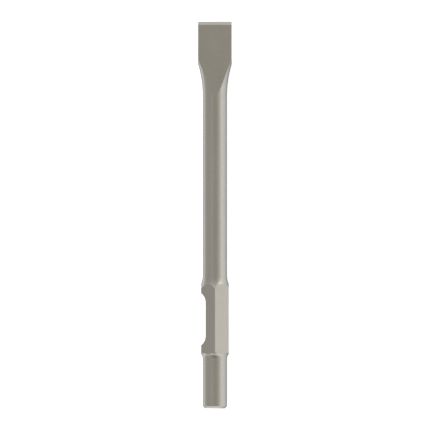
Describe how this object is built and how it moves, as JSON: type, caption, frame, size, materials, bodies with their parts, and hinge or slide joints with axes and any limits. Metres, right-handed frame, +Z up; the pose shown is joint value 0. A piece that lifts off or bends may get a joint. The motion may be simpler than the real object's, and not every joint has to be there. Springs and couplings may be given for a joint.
{
  "type": "hex shank flat chisel",
  "caption": "Flat chisel for a breaker: ground wedge blade flaring out of a round shaft, hexagonal shank with a retaining notch, chamfered striking end.",
  "frame": {"origin": "on the ground, under the middle of the chisel's length and width, as it lies", "axes": "+Y runs along the chisel's axis towards the cutting edge, +Z is up, and +X is to the right of one who looks down on it with the blade away from them; the chisel is rolled 27.4 degrees to that right"},
  "size_m": [0.0376, 0.4, 0.0293],
  "materials": {
    "satin_steel": "satin, evenly ground and blasted steel with no coating"
  },
  "bodies": {
    "root": {"flat_chisel": "satin_steel"}
  },
  "joints": []
}
